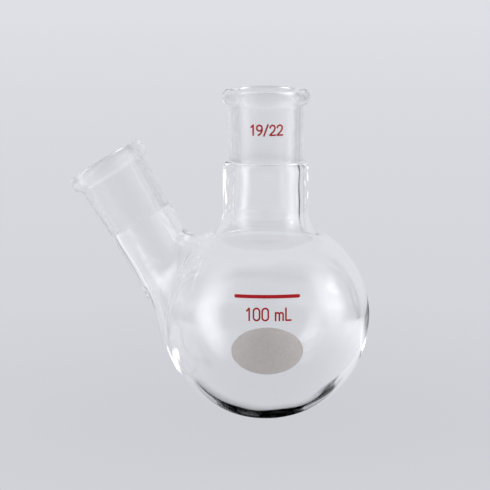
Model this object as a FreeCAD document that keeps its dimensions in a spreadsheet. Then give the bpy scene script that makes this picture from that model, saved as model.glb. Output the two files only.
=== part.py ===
"""Two-neck round bottom flask of 100 mL in borosilicate glass, with a 19/22 ground socket on each neck.

Row frame: millimetres, +Z up along the centre neck, origin at the bulb's lowest point on that neck's axis.
The side neck leans over towards -X, in the XZ plane. The enamel marks face the front, towards -Y.

The glass is made the way a glassblower makes it: a blown bulb with a collar for each neck, two neck tubes and two
ground sockets, each meeting the next at a flat weld ring. The marks are thin fired enamel that lies on the glass.
"""
import FreeCAD
import Part
import math
import os
import Sketcher

V = FreeCAD.Vector
CLOSE = 0.01          # lengths that differ by less than this are the same
OVERCUT = 1           # a cutting tool runs this far past the face that it leaves through

# Driving dimensions, in millimetres and degrees.
SIZES = [
    # the blown bulb
    ("bulb_radius", 32.0),
    ("bulb_wall", 2.0),
    ("shoulder_inset", 2.1),          # the shoulder arc is struck this far out from the axis, which flattens it
    ("inner_shoulder_inset", 4.6),    # the same for the hollow, so that the wall thickens towards the neck
    # the ground joint, one standard size for both sockets
    ("joint_bore", 18.8),             # at the mouth
    ("joint_length", 22.0),
    ("joint_taper", 10.0),            # the bore narrows by one part in this many
    ("mouth_rounding", 0.4),
    # the centre socket, round the joint
    ("socket_top_wall", 2.35),
    ("socket_foot_wall", 3.2),
    ("bead_stand", 1.7),              # how far the bead stands out from the socket's wall
    ("bead_height", 4.9),
    ("rim_edge", 1.45),               # how far the flat rim stops short of the bead's widest circle
    # the centre neck, which is wider than the socket
    ("neck_clearance", 1.9),          # its bore is this much wider than the joint's foot, on the radius
    ("neck_wall", 2.9),
    ("neck_length", 16.5),            # from its weld on the bulb to the socket's foot
    ("neck_step", 2.4),               # it closes in to the socket over this height
    ("neck_blend", 4.0),              # fillet between the neck and the bulb, outside
    ("neck_inner_blend", 8.0),
    ("neck_collar", 1.1),             # straight part of the bulb's collar below the weld
    # the side neck, on an axis that passes beside the bulb's centre
    ("side_tilt", 31.0),
    ("side_offset", 18.6),
    ("side_clearance", 0.2),
    ("side_wall", 1.9),
    ("side_length", 6.0),
    ("side_step", 1.6),
    ("side_blend", 6.0),
    ("side_collar", 0.9),
    # the side socket
    ("side_top_wall", 1.85),
    ("side_foot_wall", 1.95),
    ("side_bead_stand", 1.7),
    ("side_bead_height", 5.6),
    ("side_rim_edge", 1.45),
    # fired enamel
    ("enamel", 0.1),
    ("mark_turn", 8.0),               # the marks face this far round from -Y towards +X
    ("stroke_width", 0.5),
    ("size_mark_depth", 11.3),        # middle of the joint size, below the centre mouth
    ("size_mark_letter", 3.0),
    ("capacity_mark_rise", 6.1),      # middle of the capacity, above the bulb's centre
    ("capacity_mark_letter", 3.5),
    ("rule_rise", 11.2),
    ("rule_length", 19.6),
    ("rule_width", 1.0),
    ("patch_drop", 5.1),              # middle of the writing patch, below the bulb's centre
    ("patch_length", 21.4),
    ("patch_height", 14.7),
]

doc = FreeCAD.newDocument("two_neck_flask")
sheet = doc.addObject("Spreadsheet::Sheet", "sizes")
for row, (alias, value) in enumerate(SIZES, start=1):
    sheet.set("A%d" % row, alias)
    sheet.set("B%d" % row, str(value))
    sheet.setAlias("B%d" % row, alias)
doc.recompute()


def worked_out(text):
    """The value of an expression in the sheet's aliases, each written with a leading @."""
    return float(sheet.evalExpression(bound(text)))


def bound(text):
    """An expression for setExpression: @name stands for the sheet's cell of that name."""
    return text.replace("@", "sizes.")


def blend_height(bulb, tube, blend, inset):
    """Height at which a fillet of this radius leaves a tube that stands on a shoulder arc, as an expression."""
    reach = "(%s - %s + %s)" % (bulb, inset, blend)
    out = "(%s + %s - %s)" % (tube, blend, inset)
    return "sqrt(%s ^ 2 - %s ^ 2)" % (reach, out)


# Radii and places worked out from the driving dimensions. Heights are along each neck's own axis: above the bulb's
# centre for the centre neck, and from the axis's nearest point to that centre for the side neck.
INNER_RADIUS = "(@bulb_radius - @bulb_wall)"
JOINT_RADIUS = "(@joint_bore / 2)"
JOINT_FOOT_RADIUS = "((@joint_bore - @joint_length / @joint_taper) / 2)"
NECK_BORE = "(%s + @neck_clearance)" % JOINT_FOOT_RADIUS
NECK_RADIUS = "(%s + @neck_wall)" % NECK_BORE
NECK_WELD = "(%s + @neck_collar)" % blend_height("@bulb_radius", NECK_RADIUS, "@neck_blend", "@shoulder_inset")
SOCKET_WELD = "(%s + @neck_length)" % NECK_WELD
MOUTH = "(%s + @joint_length)" % SOCKET_WELD
SOCKET_TOP_RADIUS = "(%s + @socket_top_wall)" % JOINT_RADIUS
SOCKET_FOOT_RADIUS = "(%s + @socket_foot_wall)" % JOINT_FOOT_RADIUS
SIDE_BORE = "(%s + @side_clearance)" % JOINT_FOOT_RADIUS
SIDE_RADIUS = "(%s + @side_wall)" % SIDE_BORE
SIDE_FLARE = "(@side_offset - %s - @side_blend)" % SIDE_RADIUS
SIDE_WELD = "(sqrt((@bulb_radius + @side_blend) ^ 2 - %s ^ 2) + @side_collar)" % SIDE_FLARE
SIDE_SOCKET_WELD = "(%s + @side_length)" % SIDE_WELD
SIDE_MOUTH = "(%s + @joint_length)" % SIDE_SOCKET_WELD
SIDE_TOP_RADIUS = "(%s + @side_top_wall)" % JOINT_RADIUS
SIDE_FOOT_RADIUS = "(%s + @side_foot_wall)" % JOINT_FOOT_RADIUS
LIP_ARC = "@mouth_rounding * 1.05"    # a little more than the rounding, because the taper makes its chord longer


def new_body(name, label):
    body = doc.addObject("PartDesign::Body", name)
    body.Label = label
    return body


def stand_upright(item):
    """Place an item drawn about the bulb's centre."""
    item.setExpression("Placement.Base.z", bound("@bulb_radius"))


def lean_over(item, rise="@bulb_radius"):
    """Place an item drawn along the side neck's axis, from that axis's nearest point to the bulb's centre."""
    item.Placement = FreeCAD.Placement(V(0, 0, 0), FreeCAD.Rotation(V(0, -1, 0), 1))
    item.setExpression("Placement.Rotation.Angle", bound("@side_tilt"))
    item.setExpression("Placement.Base.x", bound("-@side_offset * cos(@side_tilt * 1 deg)"))
    item.setExpression("Placement.Base.z", bound("%s - @side_offset * sin(@side_tilt * 1 deg)" % rise))


# ---- profiles: sketches whose points and radii are bound to the sheet

def pin(sketch, geometry, vertex, across, up):
    """Hold one point of a sketch at a pair of expressions."""
    for kind, text in (("DistanceX", across), ("DistanceY", up)):
        held = sketch.addConstraint(Sketcher.Constraint(kind, -1, 1, geometry, vertex, worked_out(text)))
        sketch.setExpression("Constraints[%d]" % held, bound(text))


def profile(body, name, outline):
    """A closed sketch on the body's XZ plane.

    Each entry of the outline is (across, up) or (across, up, radius, turn): a point, and for a stretch that runs on
    to the next point as an arc, its radius and its turn, which is 1 anticlockwise and -1 clockwise.
    """
    sketch = body.newObject("Sketcher::SketchObject", name)
    plane = [f for f in body.Origin.OriginFeatures if f.Role == "XZ_Plane"][0]
    sketch.AttachmentSupport = (plane, [""])
    sketch.MapMode = "FlatFace"
    points = [V(worked_out(entry[0]), worked_out(entry[1]), 0) for entry in outline]
    ends = []
    for index, entry in enumerate(outline):
        start = points[index]
        end = points[(index + 1) % len(points)]
        if len(entry) == 2:
            sketch.addGeometry(Part.LineSegment(start, end), False)
            ends.append((1, 2))
        else:
            radius = worked_out(entry[2])
            chord = end - start
            sagitta = radius - math.sqrt(max(radius ** 2 - (chord.Length / 2) ** 2, 0))
            outward = V(chord.y, -chord.x, 0).normalize() * (sagitta * entry[3])
            sketch.addGeometry(Part.Arc(start, (start + end) * 0.5 + outward, end), False)
            ends.append((1, 2) if entry[3] > 0 else (2, 1))
            held = sketch.addConstraint(Sketcher.Constraint("Radius", index, radius))
            sketch.setExpression("Constraints[%d]" % held, bound(entry[2]))
    for index, entry in enumerate(outline):
        following = (index + 1) % len(outline)
        pin(sketch, index, ends[index][0], entry[0], entry[1])
        sketch.addConstraint(Sketcher.Constraint("Coincident", index, ends[index][1], following, ends[following][0]))
    return sketch


def revolved(body, kind, name, sketch):
    """A sketch turned once round its own vertical axis, added or cut away."""
    feature = body.newObject(kind, name)
    feature.Profile = sketch
    feature.ReferenceAxis = (sketch, ["V_Axis"])
    feature.Angle = 360
    doc.recompute()
    return feature


# ---- the glass

def shoulder_foot(bulb, tube, blend, inset):
    """Where a blend meets the shoulder arc, as a pair of expressions."""
    share = "(%s - %s) / (%s - %s + %s)" % (bulb, inset, bulb, inset, blend)
    across = "%s + (%s + %s - %s) * %s" % (inset, tube, blend, inset, share)
    up = "%s * %s" % (blend_height(bulb, tube, blend, inset), share)
    return across, up


def bulb_outline(radius, inset, tube, blend, top):
    """Half the section of a bulb with a tube standing on it."""
    foot = shoulder_foot(radius, tube, blend, inset)
    return [
        ("0", "-%s" % radius, radius, 1),
        (radius, "0", "%s - %s" % (radius, inset), 1),
        (foot[0], foot[1], blend, -1),
        (tube, blend_height(radius, tube, blend, inset)),
        (tube, top),
        ("0", top),
    ]


def make_bulb():
    """The blown bulb, with the collar of each neck drawn out of it."""
    body = new_body("bulb_body", "bulb")
    stand_upright(body)
    outside = bulb_outline("@bulb_radius", "@shoulder_inset", NECK_RADIUS, "@neck_blend", NECK_WELD)
    revolved(body, "PartDesign::Revolution", "blown_form", profile(body, "outside", outside))
    stub = body.newObject("PartDesign::AdditiveCylinder", "side_stub")
    stub.setExpression("Radius", bound(SIDE_RADIUS))
    stub.setExpression("Height", bound(SIDE_WELD))
    lean_over(stub, "0")
    doc.recompute()
    blend = body.newObject("PartDesign::Fillet", "side_flare")
    blend.Base = (stub, edges_round_side_neck(stub.Shape))
    blend.setExpression("Radius", bound("@side_blend"))
    doc.recompute()
    above_weld = "%s + %g" % (NECK_WELD, OVERCUT)
    hollow = bulb_outline(INNER_RADIUS, "@inner_shoulder_inset", NECK_BORE, "@neck_inner_blend", above_weld)
    revolved(body, "PartDesign::Groove", "hollow", profile(body, "inside", hollow))
    bore = body.newObject("PartDesign::SubtractiveCylinder", "side_bore")
    bore.setExpression("Radius", bound(SIDE_BORE))
    bore.setExpression("Height", bound("%s + %g" % (SIDE_WELD, OVERCUT)))
    lean_over(bore, "0")
    doc.recompute()
    return body


def edges_round_side_neck(shape):
    """Names of the edges where the side neck's wall runs into the bulb: on that wall, round it, and not at its end."""
    sampled_at = (0.13, 0.4, 0.77)
    tilt = math.radians(worked_out("@side_tilt"))
    axis = V(-math.sin(tilt), 0, math.cos(tilt))
    foot = V(-math.cos(tilt), 0, -math.sin(tilt)) * worked_out("@side_offset")
    radius = worked_out(SIDE_RADIUS)
    weld = worked_out(SIDE_WELD)
    found = []
    for number, edge in enumerate(shape.Edges, start=1):
        if edge.Degenerated:
            continue
        first, last = edge.ParameterRange
        samples = [edge.valueAt(first + (last - first) * share) - foot for share in sampled_at]
        along = [point.dot(axis) for point in samples]
        off = [(point - axis * reach).Length for point, reach in zip(samples, along)]
        on_wall = max(abs(distance - radius) for distance in off) < CLOSE
        runs_along = edge.tangentAt(first).cross(axis).Length < CLOSE
        if on_wall and not runs_along and max(along) < weld - CLOSE:
            found.append("Edge%d" % number)
    return found


def neck_outline(outer, bore, weld, socket_weld, step, socket_foot):
    """Half the section of a neck tube that closes in to its socket."""
    closes_at = "%s - %s" % (socket_weld, step)
    return [
        (outer, weld),
        (outer, closes_at),
        (socket_foot, socket_weld),
        (JOINT_FOOT_RADIUS, socket_weld),
        (bore, closes_at),
        (bore, weld),
    ]


def socket_outline(weld, mouth, foot, top, bead_stand, bead_height, rim_edge):
    """Half the section of a ground socket: tapered bore, plain wall, and the rounded bead with its flat rim."""
    bead_foot = "%s - %s" % (mouth, bead_height)
    land = "%s + %s - %s" % (top, bead_stand, rim_edge)
    bulge = "((%s + %s) / 2)" % (bead_stand, rim_edge)
    bead_arc = "((%s / 2) ^ 2 + %s ^ 2) / (2 * %s)" % (bead_height, bulge, bulge)
    return [
        (foot, weld),
        (top, bead_foot, bead_arc, 1),
        (land, mouth),
        (JOINT_RADIUS + " + @mouth_rounding", mouth, LIP_ARC, 1),
        (JOINT_RADIUS + " - @mouth_rounding / @joint_taper / 2", mouth + " - @mouth_rounding"),
        (JOINT_FOOT_RADIUS, weld),
    ]


def make_revolved_piece(label, outline, place):
    body = new_body(label + "_body", label)
    revolved(body, "PartDesign::Revolution", label + "_wall", profile(body, label + "_section", outline))
    place(body)
    return body


def make_centre_neck():
    outline = neck_outline(NECK_RADIUS, NECK_BORE, NECK_WELD, SOCKET_WELD, "@neck_step", SOCKET_FOOT_RADIUS)
    return make_revolved_piece("centre_neck", outline, stand_upright)


def make_centre_socket():
    outline = socket_outline(SOCKET_WELD, MOUTH, SOCKET_FOOT_RADIUS, SOCKET_TOP_RADIUS, "@bead_stand",
                             "@bead_height", "@rim_edge")
    return make_revolved_piece("centre_socket", outline, stand_upright)


def make_side_neck():
    outline = neck_outline(SIDE_RADIUS, SIDE_BORE, SIDE_WELD, SIDE_SOCKET_WELD, "@side_step", SIDE_FOOT_RADIUS)
    return make_revolved_piece("side_neck", outline, lean_over)


def make_side_socket():
    outline = socket_outline(SIDE_SOCKET_WELD, SIDE_MOUTH, SIDE_FOOT_RADIUS, SIDE_TOP_RADIUS, "@side_bead_stand",
                             "@side_bead_height", "@side_rim_edge")
    return make_revolved_piece("side_socket", outline, lean_over)


# ---- the enamel marks

# Each character's strokes on a body one unit high: a stroke is two points for a straight line, three for an arc.
STROKES = {
    "1": [((0.06, 0.78), (0.26, 1)), ((0.26, 1), (0.26, 0))],
    "9": [((0, 0.72), (0.26, 1), (0.52, 0.72)), ((0, 0.72), (0.26, 0.44), (0.52, 0.72)),
          ((0.52, 0.72), (0.44, 0.27), (0.16, 0))],
    "/": [((0, -0.06), (0.4, 1.06))],
    "2": [((0.02, 0.76), (0.27, 1), (0.51, 0.74)), ((0.51, 0.74), (0.42, 0.46), (0.24, 0.26)),
          ((0.24, 0.26), (0, 0)), ((0, 0), (0.53, 0))],
    "0": [((0, 0.74), (0.26, 1), (0.52, 0.74)), ((0.52, 0.74), (0.52, 0.26)),
          ((0.52, 0.26), (0.26, 0), (0, 0.26)), ((0, 0.26), (0, 0.74))],
    "m": [((0, 0), (0, 0.64)), ((0, 0.47), (0.16, 0.64), (0.32, 0.47)), ((0.32, 0.47), (0.32, 0)),
          ((0.32, 0.47), (0.48, 0.64), (0.64, 0.47)), ((0.64, 0.47), (0.64, 0))],
    "L": [((0, 1), (0, 0)), ((0, 0), (0.42, 0))],
}
CHARACTER_GAP = 0.2
# From the start of one character to the start of the next, with that gap.
ADVANCE = {"1": 0.62, "9": 0.72, "/": 0.6, "2": 0.73, "0": 0.74, "m": 0.88, "L": 0.42, " ": 0.4}


def on_sheet(point):
    """A drawn point, on the plane that faces the front."""
    return V(point[0], 0, point[1])


def stroke_face(points, half):
    """A pen stroke of rounded ends along a line or an arc."""
    ends = [on_sheet(point) for point in points]
    if len(points) == 3:
        path = Part.Wire([Part.Arc(*ends).toShape()])
        return Part.Face(path.makeOffset2D(half, 0, False, False))
    along = (ends[1] - ends[0]).normalize() * half
    side = V(-along.z, 0, along.x)
    a, b = ends
    outline = [
        Part.LineSegment(a + side, b + side).toShape(),
        Part.Arc(b + side, b + along, b - side).toShape(),
        Part.LineSegment(b - side, a - side).toShape(),
        Part.Arc(a - side, a - along, a + side).toShape(),
    ]
    return Part.Face(Part.Wire(outline))


def lettering(text, height, middle_up):
    """The flat faces of a line of characters, centred across the front and about the given height."""
    width = height * (sum(ADVANCE[character] for character in text) - CHARACTER_GAP)
    start = -width / 2
    half = worked_out("@stroke_width") / 2
    faces = []
    for character in text:
        if character in STROKES:
            pen = [[(start + x * height, middle_up + (y - 0.5) * height) for x, y in stroke]
                   for stroke in STROKES[character]]
            strokes = [stroke_face(points, half) for points in pen]
            joined = strokes[0].multiFuse(strokes[1:]) if len(strokes) > 1 else strokes[0]
            faces += joined.removeSplitter().Faces
        start += ADVANCE[character] * height
    return faces


def oval_face(length, height, middle_up):
    """A lying oval on the front plane."""
    oval = Part.Ellipse(V(length / 2, 0, middle_up), V(0, 0, middle_up + height / 2), V(0, 0, middle_up))
    return Part.Face(Part.Wire([oval.toShape()]))


def rounded_rule_face(length, width, middle_up):
    half = width / 2
    reach = length / 2 - half
    return stroke_face([(-reach, middle_up), (reach, middle_up)], half)


def bulb_skin():
    """The layer of enamel thickness that lies on the bulb, as a solid all round."""
    radius = worked_out("@bulb_radius")
    inset = worked_out("@shoulder_inset")
    enamel = worked_out("@enamel")
    high = math.radians(45)
    low = -high

    def on_lower(r, angle):
        return V(r * math.cos(angle), 0, r * math.sin(angle))

    def on_shoulder(r, angle):
        return V(inset + (r - inset) * math.cos(angle), 0, (r - inset) * math.sin(angle))

    def skin_line(r):
        lower = Part.Arc(on_lower(r, low), on_lower(r, low / 2), on_lower(r, 0))
        upper = Part.Arc(on_shoulder(r, 0), on_shoulder(r, high / 2), on_shoulder(r, high))
        return [lower.toShape(), upper.toShape()]

    edges = skin_line(radius) + skin_line(radius + enamel)
    edges.append(Part.LineSegment(on_lower(radius, low), on_lower(radius + enamel, low)).toShape())
    edges.append(Part.LineSegment(on_shoulder(radius, high), on_shoulder(radius + enamel, high)).toShape())
    band = Part.Face(Part.Wire(Part.__sortEdges__(edges)))
    return band.revolve(V(0, 0, 0), V(0, 0, 1), 360)


def socket_skin():
    """The same on the centre socket's plain wall."""
    foot = V(worked_out(SOCKET_FOOT_RADIUS), 0, worked_out(SOCKET_WELD))
    top = V(worked_out(SOCKET_TOP_RADIUS), 0, worked_out(MOUTH + " - @bead_height"))
    out = V(worked_out("@enamel"), 0, 0)
    band = Part.Face(Part.makePolygon([foot, top, top + out, foot + out, foot]))
    return band.revolve(V(0, 0, 0), V(0, 0, 1), 360)


def make_mark(label, faces, skin):
    """Enamel on the glass: flat faces carried forward through the skin that lies on it."""
    forward = V(0, -2 * worked_out("@bulb_radius"), 0)
    pieces = []
    for face in faces:
        pieces += skin.common(face.extrude(forward)).Solids
    mark = doc.addObject("Part::Feature", label)
    mark.Label = label
    mark.Shape = Part.makeCompound(pieces) if len(pieces) > 1 else pieces[0]
    turn = FreeCAD.Rotation(V(0, 0, 1), worked_out("@mark_turn"))
    mark.Placement = FreeCAD.Placement(V(0, 0, worked_out("@bulb_radius")), turn)
    return mark


def make_marks():
    on_bulb = bulb_skin()
    size_height = worked_out(MOUTH + " - @size_mark_depth")
    size_faces = lettering("19/22", worked_out("@size_mark_letter"), size_height)
    capacity_faces = lettering("100 mL", worked_out("@capacity_mark_letter"), worked_out("@capacity_mark_rise"))
    rule = rounded_rule_face(worked_out("@rule_length"), worked_out("@rule_width"), worked_out("@rule_rise"))
    patch = oval_face(worked_out("@patch_length"), worked_out("@patch_height"), -worked_out("@patch_drop"))
    return [
        make_mark("joint_size_mark", size_faces, socket_skin()),
        make_mark("capacity_mark", capacity_faces, on_bulb),
        make_mark("plain_rule", [rule], on_bulb),
        make_mark("writing_patch", [patch], on_bulb),
    ]


# ---- build, test and write

flask = [make_bulb(), make_centre_neck(), make_centre_socket(), make_side_neck(), make_side_socket()] + make_marks()
doc.recompute()

for item in doc.Objects:
    if "Invalid" in item.State or "Error" in item.State:
        raise RuntimeError("%s did not build: %s" % (item.Label, item.State))
for item in flask:
    if item.Shape.isNull() or not item.Shape.isValid():
        raise RuntimeError("%s has no valid shape" % item.Label)

os.makedirs("parts", exist_ok=True)
for item in flask:
    item.Shape.exportStep("parts/%s.step" % item.Label)
    box = item.Shape.BoundBox
    print("%-16s solids %2d  volume %9.2f  z %7.2f to %7.2f  x %7.2f to %7.2f"
          % (item.Label, len(item.Shape.Solids), item.Shape.Volume, box.ZMin, box.ZMax, box.XMin, box.XMax))
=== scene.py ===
import math
import bmesh
import bpy
import numpy as np
from mathutils import Matrix, Vector


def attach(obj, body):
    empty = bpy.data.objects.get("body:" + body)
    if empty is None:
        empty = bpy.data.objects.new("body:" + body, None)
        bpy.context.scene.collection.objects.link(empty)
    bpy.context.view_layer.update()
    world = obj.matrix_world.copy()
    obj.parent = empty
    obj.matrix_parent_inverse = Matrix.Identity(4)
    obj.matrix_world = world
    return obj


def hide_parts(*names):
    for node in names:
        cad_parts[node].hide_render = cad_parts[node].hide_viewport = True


# A two-neck round bottom flask of clear borosilicate glass: five pieces of glass that are welded end to end,
# and the enamel fired on them. The glass is worked out in millimetres from the bulb's centre, the stage in
# metres. Heights are along each neck's own axis: above the bulb's centre for the centre neck, and above the
# axis's nearest point to that centre for the side neck.

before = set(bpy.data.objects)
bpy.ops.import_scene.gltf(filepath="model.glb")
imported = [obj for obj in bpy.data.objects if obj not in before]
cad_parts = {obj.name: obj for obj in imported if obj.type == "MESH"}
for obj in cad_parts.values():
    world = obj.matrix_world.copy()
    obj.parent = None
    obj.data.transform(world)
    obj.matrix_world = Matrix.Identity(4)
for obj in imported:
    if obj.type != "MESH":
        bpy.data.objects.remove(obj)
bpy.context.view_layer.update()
scene = bpy.context.scene
scene.view_settings.view_transform = "Standard"

# Light is led round many times inside a thick glass wall, and crosses the welds on its way.
scene.cycles.max_bounces = 40
scene.cycles.glossy_bounces = 40
scene.cycles.transmission_bounces = 40
scene.cycles.transparent_max_bounces = 40

MM = 0.001

# ---- sizes of the glass

BULB_RADIUS = 32.0
BULB_WALL = 2.0
SHOULDER_INSET = 2.1              # how far out from the axis the outer shoulder arc is struck
INNER_SHOULDER_INSET = 4.6
WAVE_HEIGHT = 0.10                # how uneven the blown wall is inside

JOINT_RADIUS = 9.4                # of the ground bore at its mouth
JOINT_FOOT_RADIUS = 8.3
JOINT_LENGTH = 22.0
MOUTH_ROUNDING = 0.4
BEAD_STAND = 1.7                  # how far a bead stands out from its socket's wall
RIM_INSET = 1.45                  # how far in from the bead's widest its flat rim ends

NECK_RADIUS = 13.1
NECK_BORE = 10.2
NECK_BLEND = 4.0
NECK_INNER_BLEND = 8.0
NECK_WELD = 31.5
NECK_LENGTH = 16.5
NECK_STEP = 2.4                   # height over which the neck closes in to its socket
SOCKET_FOOT = 11.5                # outside radius of the socket at its weld
SOCKET_TOP = 11.75                # and where its bead starts
BEAD_HEIGHT = 4.9

SIDE_TILT = math.radians(31)
SIDE_OFFSET = 18.6                # from the bulb's centre to the side neck's axis
SIDE_RADIUS = 10.4
SIDE_BORE = 8.5
SIDE_BLEND = 6.0
SIDE_INNER_BLEND = 8.0
SIDE_WELD = 38.84
SIDE_LENGTH = 6.0
SIDE_STEP = 1.6
SIDE_SOCKET_FOOT = 10.25
SIDE_SOCKET_TOP = 11.25
SIDE_BEAD_HEIGHT = 5.6

# ---- fineness of the meshes

TURNS = 256                       # steps round a turned piece
NECK_RINGS = 48                   # along a neck's wall
VOXEL = 0.7                       # of the bulb's even mesh
PROBE = 0.02                      # step over which the form's slope is taken
ON_FORM = 0.015                   # a point this near to the form counts as on it
FORM_FADE = 4.0                   # height over which a neck's wall leaves the form, below its step

# ---- places on the glass

BULB_CENTRE = np.array((0.0, 0.0, BULB_RADIUS))
SIDE_AXIS = np.array((-math.sin(SIDE_TILT), 0.0, math.cos(SIDE_TILT)))
SIDE_FOOT = np.array((-math.cos(SIDE_TILT), 0.0, -math.sin(SIDE_TILT))) * SIDE_OFFSET

CLEAR, GROUND, SEAM = 0, 1, 2     # material slots of every piece of glass


def along_side(height):
    """A transform that stands a bar on the side neck's axis."""
    turn = Vector((0, 0, 1)).rotation_difference(Vector(SIDE_AXIS)).to_matrix().to_4x4()
    return Matrix.Translation(Vector(SIDE_FOOT + SIDE_AXIS * height)) @ turn


CENTRE_PLACE = Matrix.Identity(4)
SIDE_PLACE = along_side(0)

# ---- nodes


def new_material(name):
    material = bpy.data.materials.new(name)
    material.use_nodes = True
    material.node_tree.nodes.clear()
    return material, material.node_tree.nodes, material.node_tree.links


def add(nodes, kind, **settings):
    """A new node. A setting names an attribute, or an input with its spaces as underscores."""
    node = nodes.new(kind)
    for key, value in settings.items():
        socket = key.replace("_", " ")
        if socket in node.inputs:
            node.inputs[socket].default_value = value
        else:
            setattr(node, key, value)
    return node


def ramp(nodes, links, source, stops):
    """Colours against a value: stops are (place, colour)."""
    node = nodes.new("ShaderNodeValToRGB")
    while len(node.color_ramp.elements) < len(stops):
        node.color_ramp.elements.new(0.5)
    for element, (place, colour) in zip(node.color_ramp.elements, stops):
        element.position = place
        element.color = (*colour, 1)
    links.new(source, node.inputs["Fac"])
    return node.outputs["Color"]


def combined(nodes, links, operation, first, second=0.0):
    """One operation on two values, of which either may be a plain number."""
    node = nodes.new("ShaderNodeMath")
    node.operation = operation
    for socket, value in zip(node.inputs, (first, second)):
        if isinstance(value, (int, float)):
            socket.default_value = value
        else:
            links.new(value, socket)
    return node.outputs[0]


def mapped(nodes, links, value, before, after=(0.0, 1.0), smooth=False):
    """A value taken from one range to another, and kept within it."""
    node = add(nodes, "ShaderNodeMapRange", interpolation_type="SMOOTHSTEP" if smooth else "LINEAR")
    for name, limit in zip(("From Min", "From Max", "To Min", "To Max"), (*before, *after)):
        node.inputs[name].default_value = limit
    links.new(value, node.inputs["Value"])
    return node.outputs["Result"]


def grain(nodes, links, scale, detail):
    """A noise that is fixed to the object."""
    place = nodes.new("ShaderNodeTexCoord")
    noise = add(nodes, "ShaderNodeTexNoise", Scale=scale, Detail=detail)
    links.new(place.outputs["Object"], noise.inputs["Vector"])
    return noise.outputs["Fac"]


def add_relief(nodes, links, shader, height, strength, depth):
    """A fine bump, with its depth in metres."""
    bump = add(nodes, "ShaderNodeBump", Strength=strength, Distance=depth)
    links.new(height, bump.inputs["Height"])
    links.new(bump.outputs["Normal"], shader.inputs["Normal"])


def seen_rays(nodes, links, names):
    """1 for a ray of any of the named kinds."""
    path = nodes.new("ShaderNodeLightPath")
    total = path.outputs[names[0]]
    for name in names[1:]:
        total = combined(nodes, links, "MAXIMUM", total, path.outputs[name])
    return total


def was_reflected(nodes, links):
    """1 for a ray that a glass wall has thrown back at least once, on its way in or out."""
    path = nodes.new("ShaderNodeLightPath")
    return combined(nodes, links, "MINIMUM", path.outputs["Glossy Depth"], 1.0)


def mixed(nodes, links, share, first, second):
    node = nodes.new("ShaderNodeMixShader")
    links.new(share, node.inputs["Fac"])
    links.new(first, node.inputs[1])
    links.new(second, node.inputs[2])
    return node.outputs[0]


def finish_material(nodes, links, surface):
    output = nodes.new("ShaderNodeOutputMaterial")
    links.new(surface, output.inputs["Surface"])


# ---- materials of the object

GLASS_IOR = 1.474                 # of borosilicate glass


def glass_material(name, tint, rough, grain_scale, relief_depth, shade):
    """Glass that bends light, with a roughness that varies and a fine relief. Lamps pass through it."""
    material, nodes, links = new_material(name)
    shader = add(nodes, "ShaderNodeBsdfPrincipled", Base_Color=(*tint, 1), IOR=GLASS_IOR)
    shader.inputs["Transmission Weight"].default_value = 1.0
    haze = grain(nodes, links, grain_scale, 3.0)
    links.new(mapped(nodes, links, haze, (0.0, 1.0), rough), shader.inputs["Roughness"])
    add_relief(nodes, links, shader, haze, 0.5, relief_depth)
    through = add(nodes, "ShaderNodeBsdfTransparent", Color=(shade, shade, shade, 1))
    lamps = seen_rays(nodes, links, ["Is Shadow Ray", "Is Diffuse Ray"])
    finish_material(nodes, links, mixed(nodes, links, lamps, shader.outputs[0], through.outputs[0]))
    return material


def seam_material():
    """The plane where two pieces of glass are welded: nothing shows there."""
    material, nodes, links = new_material("weld")
    through = add(nodes, "ShaderNodeBsdfTransparent")
    finish_material(nodes, links, through.outputs[0])
    return material


def enamel_material(name, colour, pale, rough, mottle_scale):
    """Fired enamel: a colour that varies a little with the print's thickness, and a faint relief."""
    material, nodes, links = new_material(name)
    shader = add(nodes, "ShaderNodeBsdfPrincipled", Roughness=rough, Specular_IOR_Level=0.25)
    mottle = grain(nodes, links, mottle_scale, 5.0)
    links.new(ramp(nodes, links, mottle, [(0.35, colour), (0.65, pale)]), shader.inputs["Base Color"])
    add_relief(nodes, links, shader, mottle, 0.4, 0.00003)
    finish_material(nodes, links, shader.outputs[0])
    return material


# ---- the form of the bulb


def ring_distance(across, along, radius):
    """Distance to a round bar that starts at along = 0 and runs on for ever."""
    beside = across - radius
    below = np.hypot(np.maximum(beside, 0), along)
    return np.where(along > 0, beside, below)


def round_union(first, second, blend):
    """Two forms joined with a concave fillet."""
    reach = np.hypot(np.maximum(blend - first, 0), np.maximum(blend - second, 0))
    return np.maximum(blend, np.minimum(first, second)) - reach


def blown_distance(points, radius, inset, tube, tube_blend, side, side_blend):
    """Distance to a bulb with a neck drawn out at the top and another at the side."""
    across = np.hypot(points[:, 0], points[:, 1])
    up = points[:, 2]
    below = np.hypot(across, up) - radius
    shoulder = np.hypot(across - inset, up) - (radius - inset)
    body = round_union(np.where(up < 0, below, shoulder), ring_distance(across, up, tube), tube_blend)
    from_foot = points - SIDE_FOOT
    along = from_foot @ SIDE_AXIS
    off_axis = np.linalg.norm(from_foot - np.outer(along, SIDE_AXIS), axis=1)
    return round_union(body, ring_distance(off_axis, along, side), side_blend)


def outer_distance(points):
    return blown_distance(points, BULB_RADIUS, SHOULDER_INSET, NECK_RADIUS, NECK_BLEND,
                          SIDE_RADIUS, SIDE_BLEND)


def inner_distance(points):
    hollow = blown_distance(points, BULB_RADIUS - BULB_WALL, INNER_SHOULDER_INSET, NECK_BORE,
                            NECK_INNER_BLEND, SIDE_BORE, SIDE_INNER_BLEND)
    return hollow + waviness(points)


def waviness(points):
    """How uneven the blown inner wall is: slow ripples in a few directions, smooth and small."""
    ripples = (((0.31, 0.11, 0.42), 0.3), ((-0.22, 0.37, 0.29), 1.7),
               ((0.13, -0.41, 0.51), 4.1), ((0.47, 0.21, -0.17), 2.6))
    total = sum(np.sin(points @ np.array(direction) + start) for direction, start in ripples)
    return WAVE_HEIGHT * total / len(ripples)


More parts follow.
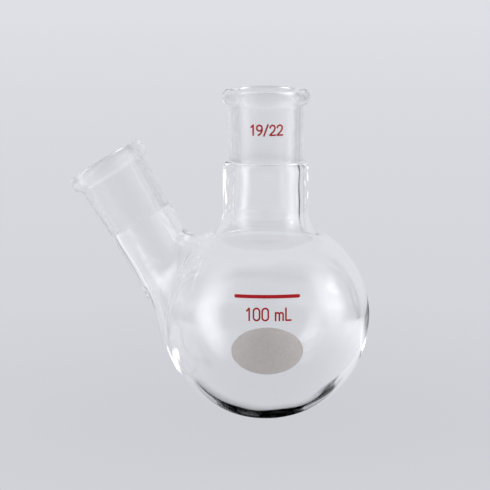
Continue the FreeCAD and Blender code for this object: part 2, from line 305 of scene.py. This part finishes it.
def slope_at(points, distance):
    """How fast the distance grows at each point, as a vector that points out of the form."""
    return np.stack([(distance(points + step) - distance(points - step)) / (2 * PROBE)
                     for step in np.eye(3) * PROBE], axis=1)


def settle(points, distance, steps=3):
    """Move points onto the surface where the distance is nought."""
    for _ in range(steps):
        value = distance(points)
        slope = slope_at(points, distance)
        points = points - slope * (value / np.maximum((slope ** 2).sum(1), 1e-6))[:, None]
    return points


def relaxed(points, edges, distance, rounds=12):
    """Spread the points evenly over the surface."""
    count = np.bincount(edges.ravel(), minlength=len(points))[:, None]
    for _ in range(rounds):
        total = np.zeros_like(points)
        np.add.at(total, edges[:, 0], points[edges[:, 1]])
        np.add.at(total, edges[:, 1], points[edges[:, 0]])
        points = settle(points + 0.5 * (total / count - points), distance, 1)
    return settle(points, distance)


def way_out(points, distance):
    """The way out of the form at each point, as a unit vector."""
    slope = slope_at(points, distance)
    return slope / np.linalg.norm(slope, axis=1)[:, None]


def set_true_normals(mesh, place):
    """Shade the blown faces by the form itself, so that the facets and the welds don't show."""
    turn = np.array(place.to_3x3())
    local = np.array([vertex.co for vertex in mesh.vertices], float)
    points = local @ turn.T + np.array(place.translation)
    from_outside, from_inside = abs(outer_distance(points)), abs(inner_distance(points))
    normals = np.where((from_outside < from_inside)[:, None], way_out(points, outer_distance),
                       -way_out(points, inner_distance)) @ turn
    blown = np.minimum(from_outside, from_inside) < ON_FORM
    corners = np.zeros((len(mesh.loops), 3))
    for face in mesh.polygons:
        if face.material_index == CLEAR and blown[list(face.vertices)].all():
            corners[face.loop_start:face.loop_start + face.loop_total] = normals[list(face.vertices)]
    mesh.normals_split_custom_set(corners.tolist())


def blown_surface(radius, tube, side, distance):
    """A dense even mesh of one face of the bulb's wall, cut off at the two welds."""
    rough = bmesh.new()
    bmesh.ops.create_icosphere(rough, subdivisions=5, radius=radius)
    spare = 8.0                   # how far the bars run past the welds
    bars = ((tube, Matrix.Translation((0, 0, (NECK_WELD + spare) / 2)), NECK_WELD + spare),
            (side, along_side((SIDE_WELD + spare) / 2), SIDE_WELD + spare))
    for width, place, length in bars:
        bmesh.ops.create_cone(rough, cap_ends=True, segments=96, radius1=width, radius2=width, depth=length,
                              matrix=place)
    mesh = bpy.data.meshes.new("rough_form")
    rough.to_mesh(mesh)
    rough.free()
    item = bpy.data.objects.new("rough_form", mesh)
    scene.collection.objects.link(item)
    remesh = item.modifiers.new("even", "REMESH")
    remesh.mode = "VOXEL"
    remesh.voxel_size = VOXEL
    even = bpy.data.meshes.new_from_object(item.evaluated_get(bpy.context.evaluated_depsgraph_get()))
    bpy.data.objects.remove(item)
    points = np.array([vertex.co for vertex in even.vertices], float)
    edges = np.array([edge.vertices for edge in even.edges], int)
    points = relaxed(settle(points, distance), edges, distance)
    even.vertices.foreach_set("co", points.astype(np.float32).ravel())
    cut = bmesh.new()
    cut.from_mesh(even)
    for place, normal in ((Vector((0, 0, NECK_WELD)), Vector((0, 0, 1))),
                          (Vector(SIDE_FOOT + SIDE_AXIS * SIDE_WELD), Vector(SIDE_AXIS))):
        bmesh.ops.bisect_plane(cut, geom=cut.verts[:] + cut.edges[:] + cut.faces[:], plane_co=place,
                               plane_no=normal, clear_outer=True, dist=1e-5)
    cut.to_mesh(even)
    cut.free()
    return even


def boundary_loops(mesh):
    """The open edges, as one list for each closed loop."""
    open_edges = {edge for edge in mesh.edges if edge.is_boundary}
    loops = []
    while open_edges:
        found = [open_edges.pop()]
        for edge in found:
            for vertex in edge.verts:
                for other in vertex.link_edges:
                    if other in open_edges:
                        open_edges.discard(other)
                        found.append(other)
        loops.append(found)
    return loops


def bulb_mesh():
    """The bulb's wall: outside, inside, and a flat ring at each weld."""
    outside = blown_surface(BULB_RADIUS, NECK_RADIUS, SIDE_RADIUS, outer_distance)
    inside = blown_surface(BULB_RADIUS - BULB_WALL, NECK_BORE, SIDE_BORE, inner_distance)
    wall = bmesh.new()
    wall.from_mesh(inside)
    bmesh.ops.reverse_faces(wall, faces=wall.faces[:])
    wall.from_mesh(outside)
    for face in wall.faces:
        face.smooth = True
        face.material_index = CLEAR
    # From the left, the side weld's two edges come first.
    from_left = sorted(boundary_loops(wall), key=lambda loop: loop[0].verts[0].co.x)
    for pair in (from_left[:2], from_left[2:]):
        made = bmesh.ops.bridge_loops(wall, edges=pair[0] + pair[1])
        for face in made["faces"]:
            face.material_index = SEAM
            face.smooth = False
    bmesh.ops.recalc_face_normals(wall, faces=wall.faces[:])
    mesh = bpy.data.meshes.new("bulb_glass")
    wall.to_mesh(mesh)
    wall.free()
    set_true_normals(mesh, CENTRE_PLACE)
    return mesh


# ---- turned glass


def bow(start, end, radius, side, step=4.0):
    """Points from start up to end, which is left out, along an arc that bulges right (1) or left (-1)."""
    start, end = np.array(start, float), np.array(end, float)
    chord = end - start
    length = np.hypot(*chord)
    out = np.array((chord[1], -chord[0])) / length * side
    centre = (start + end) / 2 - out * math.sqrt(max(radius ** 2 - (length / 2) ** 2, 0))
    first = math.atan2(*(start - centre)[::-1])
    sweep = 2 * math.asin(min(length / 2 / radius, 1)) * side
    count = max(2, math.ceil(math.degrees(abs(sweep)) / step))
    angles = [first + sweep * index / count for index in range(count)]
    return [(centre[0] + radius * math.cos(angle), centre[1] + radius * math.sin(angle)) for angle in angles]


def eased(start, end, count=16):
    """Points from start up to end along a quarter oval that leaves level and arrives upright."""
    quarter = [math.pi / 2 * index / count for index in range(count)]
    return [(start[0] + (end[0] - start[0]) * math.sin(turn), end[1] + (start[1] - end[1]) * math.cos(turn))
            for turn in quarter]


def straight(start, end, count=1):
    return [(start[0] + (end[0] - start[0]) * index / count, start[1] + (end[1] - start[1]) * index / count)
            for index in range(count)]


def turned_mesh(name, stretches, ripple=None):
    """A closed section turned about the upright axis. Each stretch is (points, material slot)."""
    section = [(point, slot) for points, slot in stretches for point in points]
    turns = np.arange(TURNS) * 2 * math.pi / TURNS
    rings = np.array([[(across * math.cos(turn), across * math.sin(turn), up) for turn in turns]
                      for (across, up), _ in section])
    if ripple is not None:
        rings = ripple(rings)
    mesh = bpy.data.meshes.new(name)
    faces, slots = [], []
    for ring, (_, slot) in enumerate(section):
        following = (ring + 1) % len(section)
        for step in range(TURNS):
            beyond = (step + 1) % TURNS
            faces.append((ring * TURNS + step, ring * TURNS + beyond,
                          following * TURNS + beyond, following * TURNS + step))
            slots.append(slot)
    mesh.from_pydata(rings.reshape(-1, 3).tolist(), [], faces)
    mesh.polygons.foreach_set("material_index", slots)
    mesh.polygons.foreach_set("use_smooth", [slot != SEAM for slot in slots])
    mesh.set_sharp_from_angle(angle=math.radians(40))
    return mesh


def neck_mesh(name, radius, bore, weld, length, step, socket_radius, place):
    """A neck tube that closes in to its socket, uneven inside, as blown tube is."""
    top = weld + length
    closes = top - step
    outside = straight((radius, weld), (radius, closes), NECK_RINGS)
    outer_step = eased((socket_radius, top), (radius, closes))[::-1]
    inner_step = [(JOINT_FOOT_RADIUS, top)] + eased((JOINT_FOOT_RADIUS, top), (bore, closes))[1:]
    inside = straight((bore, closes), (bore, weld), NECK_RINGS)
    stretches = [(outside, CLEAR), ([(radius, closes)] + outer_step[:-1], CLEAR),
                 ([(socket_radius, top)], SEAM), (inner_step, CLEAR), (inside, CLEAR), ([(bore, weld)], SEAM)]

    def blown(rings):
        """Move the wall onto the bulb's form, which ends its shoulder fillets in the neck's lowest part."""
        flat = rings.reshape(-1, 3)
        turn, foot = np.array(place.to_3x3()).T, np.array(place.translation)
        across = np.hypot(flat[:, 0], flat[:, 1])
        share = np.clip((closes - flat[:, 2]) / FORM_FADE, 0, 1)
        scale = np.ones_like(flat)
        for _ in range(5):
            where = (flat * scale) @ turn + foot
            off = np.where(across > (radius + bore) / 2, outer_distance(where), inner_distance(where))
            scale[:, :2] -= (share * np.clip(off, -1, 1) / across)[:, None]
        return (flat * scale).reshape(rings.shape)

    mesh = turned_mesh(name, stretches, blown)
    set_true_normals(mesh, place)
    return mesh


def socket_mesh(name, weld, foot, top, bead_height):
    """A ground socket: plain wall, rounded bead, flat rim, and the tapered ground bore."""
    mouth = weld + JOINT_LENGTH
    bead_foot = mouth - bead_height
    land = top + BEAD_STAND - RIM_INSET
    bulge = (BEAD_STAND + RIM_INSET) / 2
    bead_arc = ((bead_height / 2) ** 2 + bulge ** 2) / (2 * bulge)
    lip = JOINT_RADIUS + MOUTH_ROUNDING
    stretches = [
        (straight((foot, weld), (top, bead_foot), 4), CLEAR),
        (bow((top, bead_foot), (land, mouth), bead_arc, 1), CLEAR),
        (straight((land, mouth), (lip, mouth), 3), CLEAR),
        (bow((lip, mouth), (JOINT_RADIUS, mouth - MOUTH_ROUNDING), MOUTH_ROUNDING * 1.05, 1, step=15), CLEAR),
        (straight((JOINT_RADIUS, mouth - MOUTH_ROUNDING), (JOINT_FOOT_RADIUS, weld), 4), GROUND),
        ([(JOINT_FOOT_RADIUS, weld)], SEAM),
    ]
    return turned_mesh(name, stretches)


# ---- the pieces


def add_piece(name, mesh, place, node, materials):
    """Scale a mesh to metres, set it in the frame and let it stand for its CAD node."""
    to_frame = Matrix.Scale(MM, 4) @ Matrix.Translation(Vector(BULB_CENTRE)) @ place
    mesh.transform(to_frame)
    for material in materials:
        mesh.materials.append(material)
    piece = bpy.data.objects.new(name, mesh)
    scene.collection.objects.link(piece)
    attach(piece, "root")
    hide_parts(node)
    return piece


def add_glass():
    clear = glass_material("clear_borosilicate", tint=(0.985, 0.99, 0.992), rough=(0.0, 0.02),
                           grain_scale=40, relief_depth=0.000004, shade=0.94)
    ground = glass_material("ground_joint_glass", tint=(0.96, 0.965, 0.97), rough=(0.28, 0.42),
                            grain_scale=6000, relief_depth=0.00002, shade=0.85)
    glasses = [clear, ground, seam_material()]
    centre_neck = neck_mesh("centre_neck_glass", NECK_RADIUS, NECK_BORE, NECK_WELD, NECK_LENGTH, NECK_STEP,
                            SOCKET_FOOT, CENTRE_PLACE)
    centre_socket = socket_mesh("centre_socket_glass", NECK_WELD + NECK_LENGTH, SOCKET_FOOT, SOCKET_TOP,
                                BEAD_HEIGHT)
    side_neck = neck_mesh("side_neck_glass", SIDE_RADIUS, SIDE_BORE, SIDE_WELD, SIDE_LENGTH, SIDE_STEP,
                          SIDE_SOCKET_FOOT, SIDE_PLACE)
    side_socket = socket_mesh("side_socket_glass", SIDE_WELD + SIDE_LENGTH, SIDE_SOCKET_FOOT, SIDE_SOCKET_TOP,
                              SIDE_BEAD_HEIGHT)
    add_piece("bulb_glass", bulb_mesh(), CENTRE_PLACE, "bulb", glasses)
    add_piece("centre_neck_glass", centre_neck, CENTRE_PLACE, "centre_neck", glasses)
    add_piece("centre_socket_glass", centre_socket, CENTRE_PLACE, "centre_socket", glasses)
    add_piece("side_neck_glass", side_neck, SIDE_PLACE, "side_neck", glasses)
    add_piece("side_socket_glass", side_socket, SIDE_PLACE, "side_socket", glasses)


def colour_marks():
    """The enamel keeps its CAD shape and gets its finish."""
    red = enamel_material("red_enamel", (0.29, 0.002, 0.004), (0.35, 0.005, 0.009),
                          rough=0.5, mottle_scale=900)
    pale = enamel_material("pale_enamel", (0.44, 0.415, 0.395), (0.48, 0.455, 0.435),
                           rough=0.8, mottle_scale=1200)
    for node, material in (("joint_size_mark", red), ("capacity_mark", red), ("plain_rule", red),
                           ("writing_patch", pale)):
        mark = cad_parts[node]
        mark.data.materials.clear()
        mark.data.materials.append(material)


# ---- the stage, in metres: camera, floor, world, lamps and cards

BULB_MIDDLE = Vector(BULB_CENTRE) * MM

CAMERA_AZIMUTH = math.radians(7.1)
CAMERA_RISE = math.radians(11.0)
CAMERA_DISTANCE = 0.8
CAMERA_LENS = 190.1
LOOK_LEFT = 0.00643               # how far to the left of the bulb's centre the camera looks
LOOK_UP = 0.0215                  # and how far above it


def outwards(azimuth, rise):
    """The way out from the flask. The azimuth is nought in front and grows to the right."""
    return Vector((math.sin(azimuth) * math.cos(rise), -math.cos(azimuth) * math.cos(rise), math.sin(rise)))


def put(name, data, place):
    item = bpy.data.objects.new(name, data)
    scene.collection.objects.link(item)
    item.location = place
    return item


def face(item, target):
    """Turn an item so that its front, which is -Z, points at the target."""
    item.rotation_mode = "QUATERNION"
    item.rotation_quaternion = (target - item.location).to_track_quat("-Z", "Y")


def rectangle(name, width, depth, material):
    half, deep = width / 2, depth / 2
    corners = [(-half, -deep, 0), (half, -deep, 0), (half, deep, 0), (-half, deep, 0)]
    mesh = bpy.data.meshes.new(name)
    mesh.from_pydata(corners, [], [(0, 1, 2, 3)])
    mesh.materials.append(material)
    return mesh


def add_camera():
    back = outwards(CAMERA_AZIMUTH, CAMERA_RISE)
    right = Vector((math.cos(CAMERA_AZIMUTH), math.sin(CAMERA_AZIMUTH), 0))
    up = back.cross(right)
    camera = put("camera", bpy.data.cameras.new("camera"), BULB_MIDDLE + back * CAMERA_DISTANCE)
    face(camera, BULB_MIDDLE - right * LOOK_LEFT + up * LOOK_UP)
    camera.data.lens = CAMERA_LENS
    camera.data.sensor_width = 36
    scene.camera = camera


FLOOR_SIZE = 12.0
FLOOR_SHADE = (-0.05, 1.6)        # distances from the flask between which near grey turns to far grey
NEAR_GREY = (0.59, 0.595, 0.63)
FAR_GREY = (0.735, 0.745, 0.785)
FOOT_SHADOW_LEAN = 0.2                   # how the painted shadow under the bulb slants back to the right
FOOT_SHADOW_CURVE = 8.3                  # and how it curves back at both ends

# Pools of light and dark painted on the floor and seen only in the glass; FOOT is the painted shadow under
# the bulb. Each is centre, reach, how much is added to the floor's own light, and the shares of the reach
# between which the pool fades out.
# The painted shadow under the bulb, seen only in the glass.
FOOT = ((0.001, -0.0075), (0.034, 0.0088), -1.6, (0.85, 1.15))
# Painted pools of light, painted glints and painted dark, seen only in the glass.
POOLS = (
    ((-0.20, -0.09), (0.22, 0.22), 1.4, (0.2, 1.0)),          # wide light at the left
    ((0.20, 0.0), (0.20, 0.20), 2.1, (0.2, 1.0)),             # and at the right
    ((-0.055, 0.026), (0.018, 0.013), 4.0, (0.4, 1.0)),       # small glint at the left
    ((0.044, 0.085), (0.012, 0.022), 4.5, (0.4, 1.0)),        # and behind at the right
    ((-0.17, 0.49), (0.09, 0.07), 2.5, (0.5, 1.0)),           # light far behind
    ((0.065, 0.20), (0.035, 0.10), -0.75, (0.6, 1.0)),        # dark behind at the right
    ((-0.12, 0.105), (0.03, 0.03), -0.45, (0.5, 1.0)),        # and at the left
)


def pool(nodes, links, across, away, settings):
    """What one pool adds to the floor's light."""
    centre, reach, gain, fade = settings
    flat = nodes.new("ShaderNodeCombineXYZ")
    for axis, value, middle, length in zip("XY", (across, away), centre, reach):
        from_middle = combined(nodes, links, "SUBTRACT", value, middle)
        links.new(combined(nodes, links, "DIVIDE", from_middle, length), flat.inputs[axis])
    off_centre = add(nodes, "ShaderNodeVectorMath", operation="LENGTH")
    links.new(flat.outputs[0], off_centre.inputs[0])
    return mapped(nodes, links, off_centre.outputs["Value"], fade, (gain, 0.0), smooth=True)


def floor_colour(nodes, links, place):
    """Pale grey, and paler away from the flask: painted shade, darkest near the flask."""
    from_foot = add(nodes, "ShaderNodeVectorMath", operation="LENGTH")
    links.new(place, from_foot.inputs[0])
    away = mapped(nodes, links, from_foot.outputs["Value"], FLOOR_SHADE)
    middle = tuple((near + far) / 2 for near, far in zip(NEAR_GREY, FAR_GREY))
    return ramp(nodes, links, away, [(0, NEAR_GREY), (0.15, middle), (1, FAR_GREY)])


def floor_light(nodes, links, place):
    """How strongly the floor shines. Its painted pools of light and dark and its painted shadow show only in
    glass that throws back what is round it.
    """
    split = nodes.new("ShaderNodeSeparateXYZ")
    links.new(place, split.inputs[0])
    across, back = split.outputs["X"], split.outputs["Y"]
    lean = combined(nodes, links, "MULTIPLY", across, FOOT_SHADOW_LEAN)
    curve = combined(nodes, links, "MULTIPLY", combined(nodes, links, "MULTIPLY", across, across), FOOT_SHADOW_CURVE)
    bent = combined(nodes, links, "SUBTRACT", combined(nodes, links, "SUBTRACT", back, lean), curve)
    change = pool(nodes, links, across, bent, FOOT)
    for settings in POOLS:
        change = combined(nodes, links, "ADD", change, pool(nodes, links, across, back, settings))
    change = combined(nodes, links, "MULTIPLY", change, was_reflected(nodes, links))
    return combined(nodes, links, "MAXIMUM", combined(nodes, links, "ADD", change, 1.0), 0.0)


def add_floor():
    """A plain pale floor that shines for the camera and in the glass, and is matte to diffuse rays."""
    material, nodes, links = new_material("floor")
    place = nodes.new("ShaderNodeTexCoord").outputs["Object"]
    shown = add(nodes, "ShaderNodeEmission")
    links.new(floor_colour(nodes, links, place), shown.inputs["Color"])
    links.new(floor_light(nodes, links, place), shown.inputs["Strength"])
    matte = add(nodes, "ShaderNodeBsdfDiffuse", Color=(0.7, 0.7, 0.72, 1))
    share = seen_rays(nodes, links, ["Is Camera Ray", "Is Glossy Ray", "Is Transmission Ray"])
    finish_material(nodes, links, mixed(nodes, links, share, matte.outputs[0], shown.outputs[0]))
    floor = put("floor", rectangle("floor", FLOOR_SIZE, FLOOR_SIZE, material), (0, 0, 0))


ROOM_FRONT = (0.50, 0.50, 0.52)
ROOM_SIDES = (0.62, 0.62, 0.65)


def set_world():
    """A pale room, a little darker on the camera's side."""
    world = bpy.data.worlds.new("studio")
    scene.world = world
    world.use_nodes = True
    nodes, links = world.node_tree.nodes, world.node_tree.links
    nodes.clear()
    place = nodes.new("ShaderNodeTexCoord")
    split = nodes.new("ShaderNodeSeparateXYZ")
    links.new(place.outputs["Generated"], split.inputs[0])
    turned = mapped(nodes, links, split.outputs["Y"], (-1.0, 1.0))
    room = ramp(nodes, links, turned, [(0, ROOM_FRONT), (0.5, ROOM_SIDES), (0.8, FAR_GREY), (1, FAR_GREY)])
    back = add(nodes, "ShaderNodeBackground")
    links.new(room, back.inputs["Color"])
    plain = add(nodes, "ShaderNodeBackground", Color=(*FAR_GREY, 1))
    seen = seen_rays(nodes, links, ["Is Camera Ray"])
    output = nodes.new("ShaderNodeOutputWorld")
    links.new(mixed(nodes, links, seen, back.outputs[0], plain.outputs[0]), output.inputs["Surface"])


LAMP_AIM = Vector((0, 0, 0.05))


def add_lamp(name, place, size, watts):
    """A softbox that faces the flask."""
    data = bpy.data.lights.new(name, "AREA")
    data.shape = "RECTANGLE"
    data.size, data.size_y = size
    data.energy = watts
    lamp = put(name, data, place)
    face(lamp, LAMP_AIM)
    lamp.visible_glossy = False
    lamp.visible_transmission = False


def add_lamps():
    add_lamp("left_softbox", (-0.62, -0.12, 0.22), (0.16, 0.5), 3.2)
    add_lamp("right_softbox", (0.62, 0.02, 0.22), (0.16, 0.5), 3.2)
    add_lamp("top_softbox", (0.0, -0.15, 0.9), (0.5, 0.4), 3.0)


CARD_DISTANCE = 0.24


def card_material(name, level, edge):
    """A card that glows evenly and fades out over its edges, or for a level of nought, a dark one. It shows
    only where glass throws it back: a painted highlight or a painted dark reflection.
    """
    material, nodes, links = new_material(name)
    place = nodes.new("ShaderNodeTexCoord")
    split = nodes.new("ShaderNodeSeparateXYZ")
    links.new(place.outputs["Generated"], split.inputs[0])
    cover = was_reflected(nodes, links)
    for axis in "XY":
        from_middle = combined(nodes, links, "SUBTRACT", split.outputs[axis], 0.5)
        off_centre = combined(nodes, links, "ABSOLUTE", from_middle)
        fade = mapped(nodes, links, off_centre, (0.5, 0.5 - edge), smooth=True)
        cover = combined(nodes, links, "MULTIPLY", cover, fade)
    glow = add(nodes, "ShaderNodeEmission", Color=(0.97, 0.98, 1.0, 1), Strength=level)
    gone = add(nodes, "ShaderNodeBsdfTransparent")
    finish_material(nodes, links, mixed(nodes, links, cover, gone.outputs[0], glow.outputs[0]))
    return material


def add_card(name, azimuth, elevation, size, level, edge):
    """A flat card that faces the flask and is seen only in its glass."""
    place = BULB_MIDDLE + CARD_DISTANCE * outwards(math.radians(azimuth), math.radians(elevation))
    card = put(name, rectangle(name, *size, card_material(name, level, edge)), place)
    face(card, BULB_MIDDLE)
    card.visible_camera = False
    card.visible_diffuse = False
    card.visible_shadow = False


def add_cards():
    # The glowing cards paint highlights in the glass; the dark card paints a dark reflection there.
    add_card("left_glow", -60, 22, (0.20, 0.42), 2.8, 0.45)
    add_card("right_glow", 87, 17, (0.22, 0.42), 3.5, 0.45)
    add_card("right_back_shade", 128, 10, (0.04, 0.3), 0.0, 0.25)


add_camera()
add_glass()
colour_marks()
add_floor()
set_world()
add_lamps()
add_cards()
